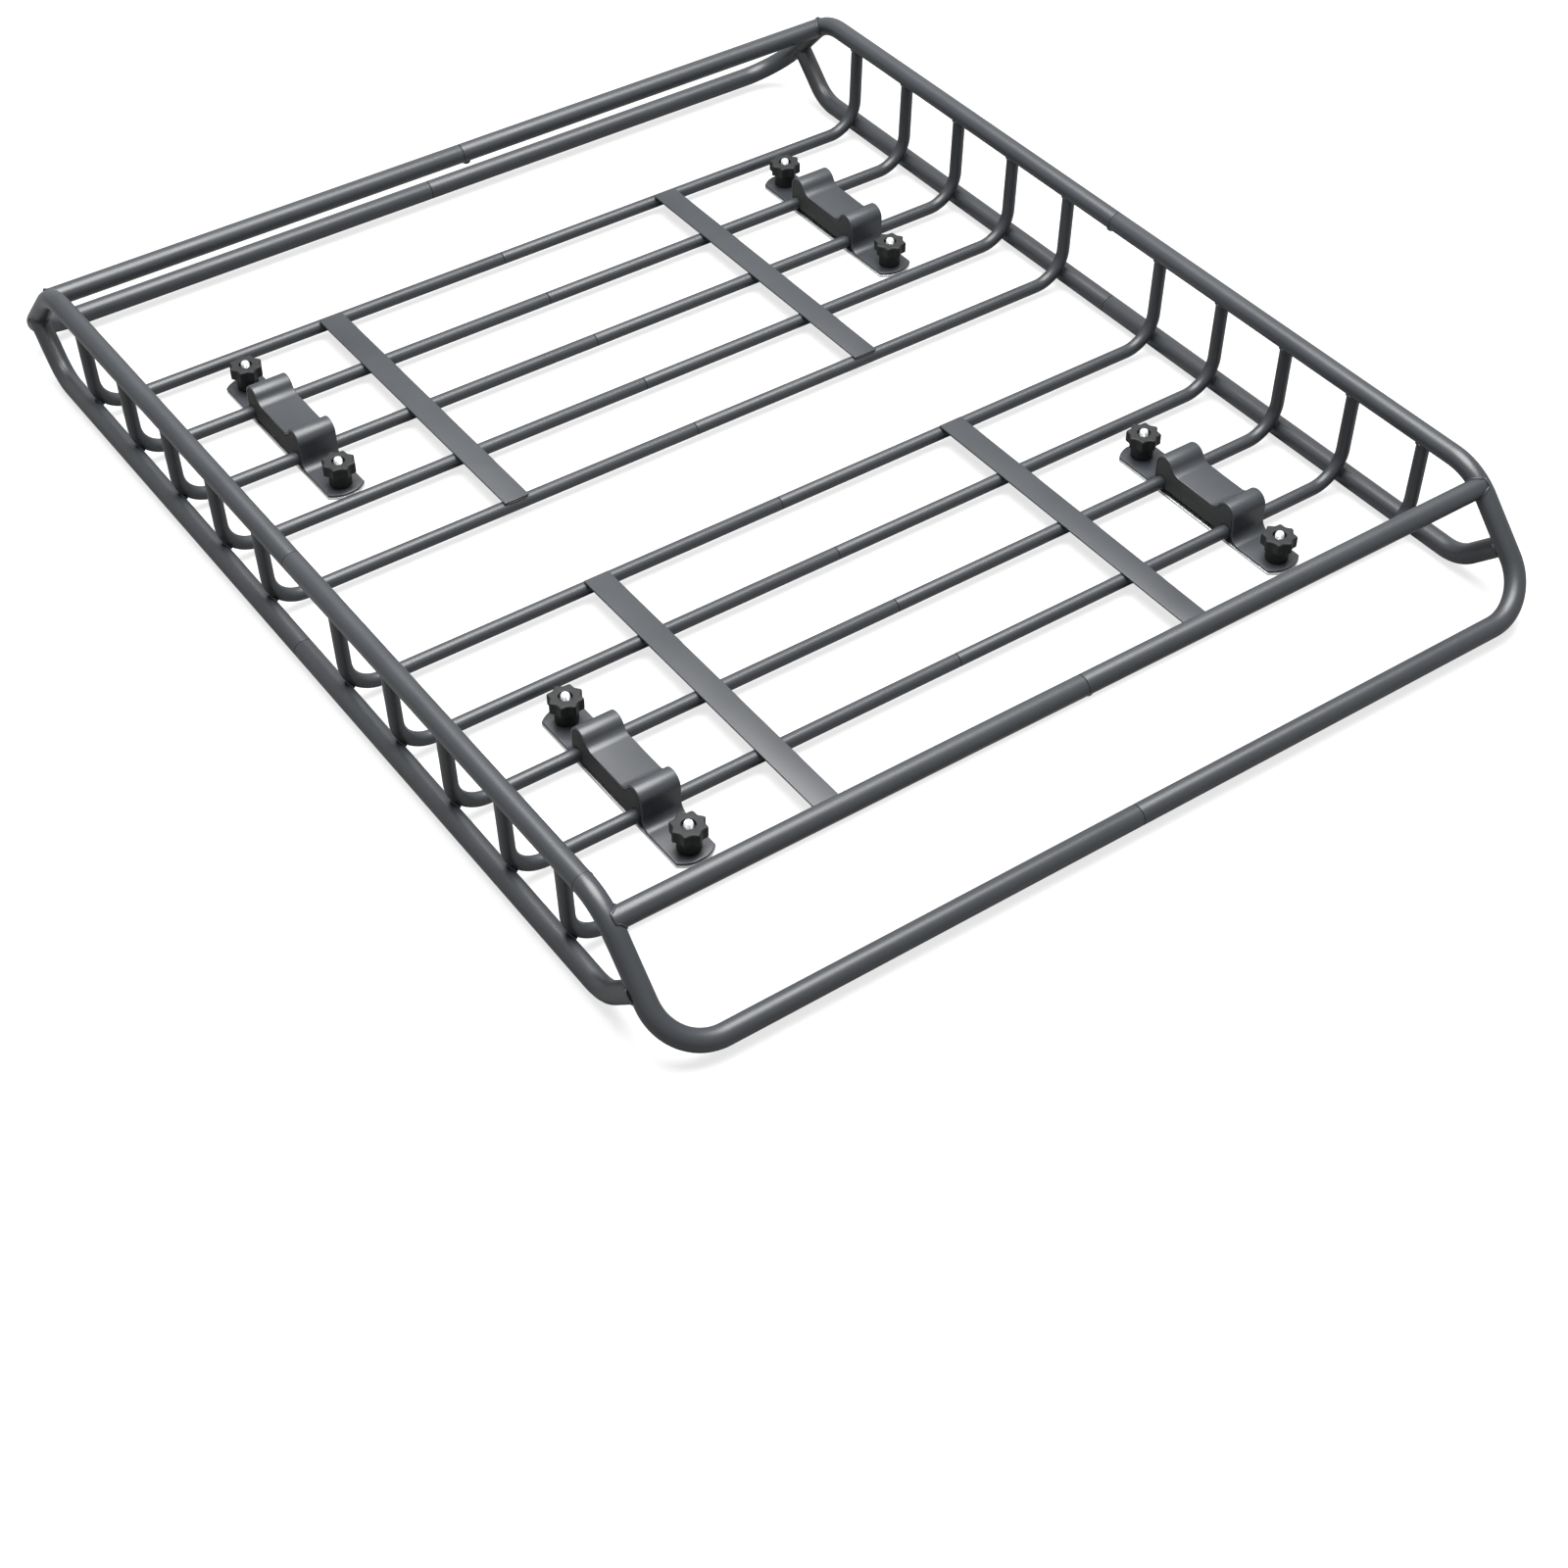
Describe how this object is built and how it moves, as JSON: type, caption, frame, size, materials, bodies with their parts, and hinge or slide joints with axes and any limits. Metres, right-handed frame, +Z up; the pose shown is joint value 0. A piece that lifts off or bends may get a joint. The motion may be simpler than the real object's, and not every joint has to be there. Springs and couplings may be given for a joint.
{
  "type": "roof cargo basket",
  "caption": "Black tube roof basket with flat floor straps, side rails that turn down into open low ends, and four star-knob crossbar clamps.",
  "frame": {"origin": "middle of the base, in the plane of the undersides of the four stud plates", "axes": "+X to the right across the vehicle (along the floor bars), +Y to the rear along the side rails, +Z up"},
  "size_m": [0.9184, 1.157, 0.12],
  "materials": {
    "black_coat": "satin black powder coat",
    "pad_rubber": "matt moulded",
    "zinc_steel": "bright zinc plate",
    "knob_plastic": "fine moulded texture"
  },
  "bodies": {
    "basket": {"floor_bar_l01": "black_coat", "floor_bar_l02": "black_coat", "floor_bar_l03": "black_coat", "floor_bar_l04": "black_coat", "floor_bar_l05": "black_coat", "floor_bar_l06": "black_coat", "floor_bar_l07": "black_coat", "floor_bar_l08": "black_coat", "floor_bar_l09": "black_coat", "floor_bar_l10": "black_coat", "floor_bar_r01": "black_coat", "floor_bar_r02": "black_coat", "floor_bar_r03": "black_coat", "floor_bar_r04": "black_coat", "floor_bar_r05": "black_coat", "floor_bar_r06": "black_coat", "floor_bar_r07": "black_coat", "floor_bar_r08": "black_coat", "floor_bar_r09": "black_coat", "floor_bar_r10": "black_coat", "perimeter_tube_fl": "black_coat", "perimeter_tube_fr": "black_coat", "perimeter_tube_rl": "black_coat", "perimeter_tube_rr": "black_coat", "end_rail_fl": "black_coat", "end_rail_fr": "black_coat", "end_rail_rl": "black_coat", "end_rail_rr": "black_coat", "low_side_rail_fl": "black_coat", "low_side_rail_fr": "black_coat", "low_side_rail_rl": "black_coat", "low_side_rail_rr": "black_coat", "strap_fl": "black_coat", "strap_fr": "black_coat", "strap_rl": "black_coat", "strap_rr": "black_coat", "clamp_plate_fl": "black_coat", "clamp_plate_fr": "black_coat", "clamp_plate_rl": "black_coat", "clamp_plate_rr": "black_coat", "joint_screw_left": "black_coat", "joint_screw_right": "black_coat", "joint_screw_front": "black_coat", "joint_screw_rear": "black_coat", "clamp_pad_fl": "pad_rubber", "clamp_pad_fr": "pad_rubber", "clamp_pad_rl": "pad_rubber", "clamp_pad_rr": "pad_rubber"},
    "stud_plate_fl": {"stud_plate_fl": "zinc_steel"},
    "knob_fl_a": {"knob_fl_a": "knob_plastic"},
    "knob_fl_b": {"knob_fl_b": "knob_plastic"},
    "stud_plate_fr": {"stud_plate_fr": "zinc_steel"},
    "knob_fr_a": {"knob_fr_a": "knob_plastic"},
    "knob_fr_b": {"knob_fr_b": "knob_plastic"},
    "stud_plate_rl": {"stud_plate_rl": "zinc_steel"},
    "knob_rl_a": {"knob_rl_a": "knob_plastic"},
    "knob_rl_b": {"knob_rl_b": "knob_plastic"},
    "stud_plate_rr": {"stud_plate_rr": "zinc_steel"},
    "knob_rr_a": {"knob_rr_a": "knob_plastic"},
    "knob_rr_b": {"knob_rr_b": "knob_plastic"}
  },
  "joints": [
    {"name": "stud_plate_fl_drop", "type": "slide", "parent": "basket", "child": "stud_plate_fl", "axis": [0, 0, -1], "range_m": [0, 0.01]},
    {"name": "knob_fl_a_turn", "type": "hinge", "parent": "basket", "child": "knob_fl_a", "pos_m": [-0.3077, -0.19675, 0.0056], "axis": [0, 0, 1], "range_deg": [0, 2898]},
    {"name": "knob_fl_b_turn", "type": "hinge", "parent": "basket", "child": "knob_fl_b", "pos_m": [-0.3077, -0.38145, 0.0056], "axis": [0, 0, 1], "range_deg": [0, 2898]},
    {"name": "stud_plate_fr_drop", "type": "slide", "parent": "basket", "child": "stud_plate_fr", "axis": [0, 0, -1], "range_m": [0, 0.01]},
    {"name": "knob_fr_a_turn", "type": "hinge", "parent": "basket", "child": "knob_fr_a", "pos_m": [0.3243, -0.19675, 0.0056], "axis": [0, 0, 1], "range_deg": [0, 2898]},
    {"name": "knob_fr_b_turn", "type": "hinge", "parent": "basket", "child": "knob_fr_b", "pos_m": [0.3243, -0.38145, 0.0056], "axis": [0, 0, 1], "range_deg": [0, 2898]},
    {"name": "stud_plate_rl_drop", "type": "slide", "parent": "basket", "child": "stud_plate_rl", "axis": [0, 0, -1], "range_m": [0, 0.01]},
    {"name": "knob_rl_a_turn", "type": "hinge", "parent": "basket", "child": "knob_rl_a", "pos_m": [-0.3077, 0.38145, 0.0056], "axis": [0, 0, 1], "range_deg": [0, 2898]},
    {"name": "knob_rl_b_turn", "type": "hinge", "parent": "basket", "child": "knob_rl_b", "pos_m": [-0.3077, 0.19675, 0.0056], "axis": [0, 0, 1], "range_deg": [0, 2898]},
    {"name": "stud_plate_rr_drop", "type": "slide", "parent": "basket", "child": "stud_plate_rr", "axis": [0, 0, -1], "range_m": [0, 0.01]},
    {"name": "knob_rr_a_turn", "type": "hinge", "parent": "basket", "child": "knob_rr_a", "pos_m": [0.3243, 0.38145, 0.0056], "axis": [0, 0, 1], "range_deg": [0, 2898]},
    {"name": "knob_rr_b_turn", "type": "hinge", "parent": "basket", "child": "knob_rr_b", "pos_m": [0.3243, 0.19675, 0.0056], "axis": [0, 0, 1], "range_deg": [0, 2898]}
  ],
  "couplings": [
    {"joint": "knob_fl_a_turn", "follows": "stud_plate_fl_drop", "rad_per_m": 5026.5},
    {"joint": "knob_fl_b_turn", "follows": "stud_plate_fl_drop", "rad_per_m": 5026.5},
    {"joint": "knob_fr_a_turn", "follows": "stud_plate_fr_drop", "rad_per_m": 5026.5},
    {"joint": "knob_fr_b_turn", "follows": "stud_plate_fr_drop", "rad_per_m": 5026.5},
    {"joint": "knob_rl_a_turn", "follows": "stud_plate_rl_drop", "rad_per_m": 5026.5},
    {"joint": "knob_rl_b_turn", "follows": "stud_plate_rl_drop", "rad_per_m": 5026.5},
    {"joint": "knob_rr_a_turn", "follows": "stud_plate_rr_drop", "rad_per_m": 5026.5},
    {"joint": "knob_rr_b_turn", "follows": "stud_plate_rr_drop", "rad_per_m": 5026.5}
  ]
}
